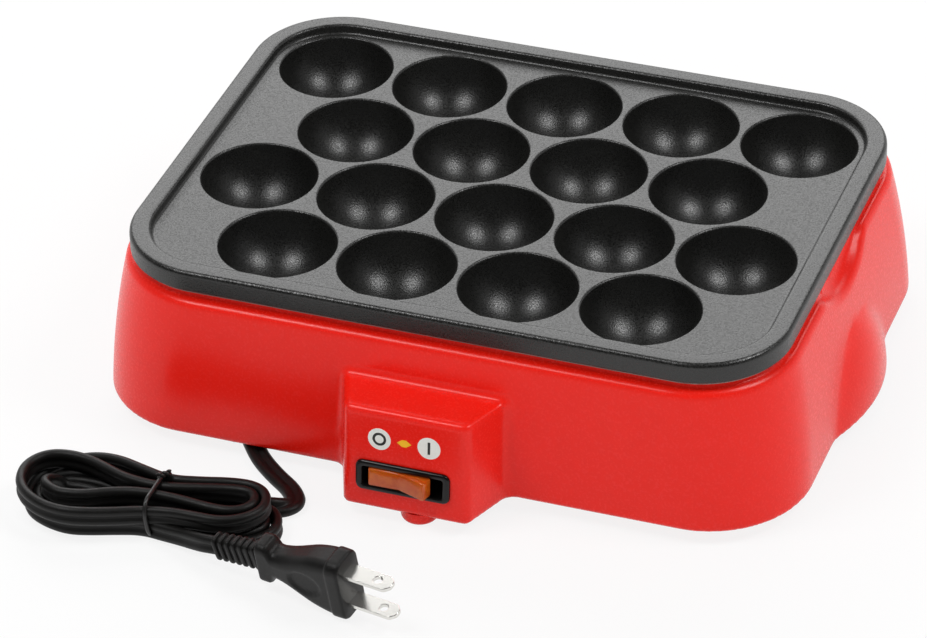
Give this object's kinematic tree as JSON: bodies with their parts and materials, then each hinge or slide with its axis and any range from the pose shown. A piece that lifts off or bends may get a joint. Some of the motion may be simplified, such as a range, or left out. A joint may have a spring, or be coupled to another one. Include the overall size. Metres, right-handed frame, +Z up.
{
  "type": "takoyaki maker",
  "caption": "Electric takoyaki maker: a lift-off cast plate with round bowls on a red rounded base with end grips, front rocker switch, and a bundled mains cord with plug.",
  "frame": {"origin": "middle of the underside of the box round the appliance without its cord, on the table the feet stand on", "axes": "+Z up, +Y to the back, +X to the right; the switch box faces -Y and the long side of the plate runs along X"},
  "size_m": [0.2638, 0.266, 0.0663],
  "materials": {
    "amber_lens": "translucent amber",
    "black_plastic": "fine matt",
    "brass": "drawn",
    "clear_sleeve": "milky",
    "coated_plate": "non-stick coat, satin, fine speckle",
    "cord_black": "satin vinyl",
    "heater_steel": "sheathed element, matt",
    "lamp_glass": "clear",
    "lead_white": "insulated lead",
    "nickel_brass": "bright",
    "red_shell": "glossy moulded plastic",
    "tie_black": "plastic-coated wire",
    "tray_metal": "bright sheet",
    "white_ceramic": "matt",
    "white_plastic": "matt",
    "zinc_steel": "zinc plated"
  },
  "bodies": {
    "base": {"base_shell": "red_shell", "bottom_cover": "red_shell", "closed_end_connector": "white_plastic", "cord_bush": "cord_black", "cord_hank": "cord_black", "cord_run": "cord_black", "cord_tail": "cord_black", "cord_tie": "tie_black", "cover_screws": "zinc_steel", "fuse_strap": "zinc_steel", "heater_clips": "zinc_steel", "heater_pins": "brass", "heater_seals": "white_ceramic", "lead_fuse": "lead_white", "lead_heater": "lead_white", "lead_lamp": "lead_white", "lead_line": "lead_white", "lead_neutral": "lead_white", "lead_return": "lead_white", "lead_sleeves": "clear_sleeve", "lead_switched": "lead_white", "neon_lamp": "lamp_glass", "plug_blades": "nickel_brass", "plug_body": "cord_black", "plug_relief": "cord_black", "reflector_tray": "tray_metal", "sheathed_heater": "heater_steel", "switch_blades": "brass", "switch_housing": "black_plastic", "thermal_fuse": "tray_metal", "thermostat": "white_ceramic", "tray_rivets": "zinc_steel", "tray_screws": "zinc_steel"},
    "plate": {"takoyaki_plate": "coated_plate"},
    "rocker": {"switch_rocker": "amber_lens"}
  },
  "joints": [
    {"name": "plate_lift", "type": "slide", "parent": "base", "child": "plate", "axis": [0, 0, 1], "range_m": [0, 0.04]},
    {"name": "rocker_switch", "type": "hinge", "parent": "base", "child": "rocker", "pos_m": [0, -0.09504, 0.01698], "axis": [0, 0.108, 0.9942], "range_deg": [0, 20]}
  ]
}
